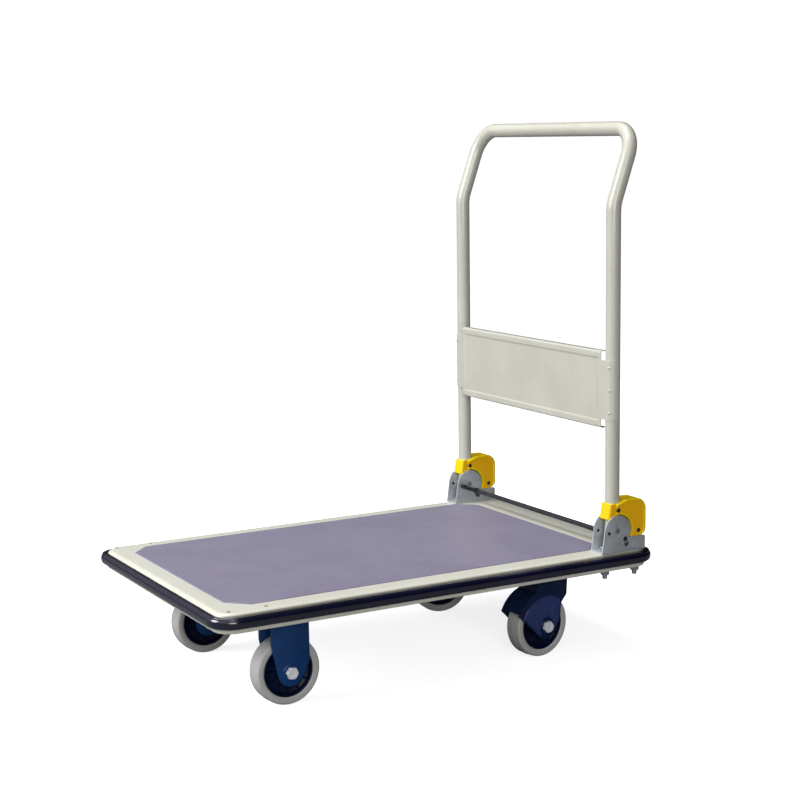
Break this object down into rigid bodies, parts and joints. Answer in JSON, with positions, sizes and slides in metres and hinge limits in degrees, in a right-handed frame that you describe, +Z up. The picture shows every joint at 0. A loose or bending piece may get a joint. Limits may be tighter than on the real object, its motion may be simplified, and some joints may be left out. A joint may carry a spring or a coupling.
{
  "type": "folding platform cart",
  "caption": "Flat steel platform cart on fixed and swivel casters, with a rubber bumper round the deck and a push handle that folds down onto it.",
  "frame": {"origin": "on the floor under the middle of the deck, which is the middle of the bumper's outline", "axes": "+X towards the handle end, -Y to the left of a person who pushes the cart, +Z up"},
  "size_m": [0.74, 0.48, 0.814],
  "materials": {
    "cream_paint": "satin powder coat",
    "vinyl_mat": "matt, finely grained",
    "bumper_vinyl": "glossy",
    "zinc_plate": "bright zinc plate",
    "blue_paint": "gloss paint",
    "grey_tyre": "matt, non-marking",
    "navy_hub": "satin",
    "yellow_plastic": "satin moulding",
    "beige_paint": "satin powder coat",
    "dark_steel": "oiled"
  },
  "bodies": {
    "deck": {"deck_shell": "cream_paint", "deck_mat": "vinyl_mat", "bumper": "bumper_vinyl", "deck_rivets": "zinc_plate", "stiffener_front": "cream_paint", "stiffener_rear": "cream_paint", "bracket_supports": "cream_paint", "hinge_bracket_left": "zinc_plate", "hinge_bracket_right": "zinc_plate", "bracket_bolts": "zinc_plate", "bracket_nuts": "zinc_plate", "pivot_pins": "zinc_plate", "release_springs": "dark_steel", "spring_anchors": "zinc_plate", "fixed_fork_left": "blue_paint", "fixed_fork_right": "blue_paint", "front_axle_bolts": "zinc_plate", "front_axle_nuts": "zinc_plate", "front_axle_sleeves": "zinc_plate", "caster_bolts": "zinc_plate", "caster_nuts": "zinc_plate", "swivel_plate_left": "blue_paint", "swivel_plate_right": "blue_paint", "kingpins": "zinc_plate", "swivel_balls": "zinc_plate"},
    "handle": {"handle_tube": "beige_paint", "handle_panel": "beige_paint", "panel_rivets": "beige_paint", "hook_plates": "zinc_plate", "pivot_bushes": "zinc_plate", "latch_cover_left": "yellow_plastic", "latch_cover_right": "yellow_plastic", "cover_screws": "dark_steel"},
    "release_bar": {"release_rod": "dark_steel", "rod_clips": "zinc_plate"},
    "wheel_front_left": {"tyre_front_left": "grey_tyre", "hub_front_left": "navy_hub", "bearing_front_left": "dark_steel"},
    "wheel_front_right": {"tyre_front_right": "grey_tyre", "hub_front_right": "navy_hub", "bearing_front_right": "dark_steel"},
    "caster_left": {"yoke_left": "blue_paint", "axle_bolt_left": "zinc_plate", "axle_nut_left": "zinc_plate", "axle_sleeve_left": "zinc_plate"},
    "caster_right": {"yoke_right": "blue_paint", "axle_bolt_right": "zinc_plate", "axle_nut_right": "zinc_plate", "axle_sleeve_right": "zinc_plate"},
    "wheel_rear_left": {"tyre_rear_left": "grey_tyre", "hub_rear_left": "navy_hub", "bearing_rear_left": "dark_steel"},
    "wheel_rear_right": {"tyre_rear_right": "grey_tyre", "hub_rear_right": "navy_hub", "bearing_rear_right": "dark_steel"}
  },
  "joints": [
    {"name": "handle_fold", "type": "hinge", "parent": "deck", "child": "handle", "pos_m": [0.2973, 0, 0.199], "axis": [0, -1, 0], "range_deg": [0, 90]},
    {"name": "release_slide", "type": "slide", "parent": "deck", "child": "release_bar", "axis": [0.5, 0, -0.866], "range_m": [0, 0.01], "stiffness_N_per_m": 1000, "springref_m": -0.01, "deforming": ["release_springs"]},
    {"name": "swivel_left", "type": "hinge", "parent": "deck", "child": "caster_left", "pos_m": [0.2288, -0.144, 0.13], "axis": [0, 0, 1], "continuous": true},
    {"name": "swivel_right", "type": "hinge", "parent": "deck", "child": "caster_right", "pos_m": [0.2288, 0.144, 0.13], "axis": [0, 0, 1], "continuous": true},
    {"name": "wheel_rear_left_spin", "type": "hinge", "parent": "caster_left", "child": "wheel_rear_left", "pos_m": [0.20299, -0.14717, 0.05], "axis": [-0.1219, 0.9925, 0], "continuous": true},
    {"name": "wheel_rear_right_spin", "type": "hinge", "parent": "caster_right", "child": "wheel_rear_right", "pos_m": [0.20337, 0.14941, 0.05], "axis": [0.2079, 0.9781, 0], "continuous": true},
    {"name": "wheel_front_left_spin", "type": "hinge", "parent": "deck", "child": "wheel_front_left", "pos_m": [-0.2283, -0.1468, 0.05], "axis": [0, 1, 0], "continuous": true},
    {"name": "wheel_front_right_spin", "type": "hinge", "parent": "deck", "child": "wheel_front_right", "pos_m": [-0.2283, 0.1468, 0.05], "axis": [0, 1, 0], "continuous": true}
  ]
}
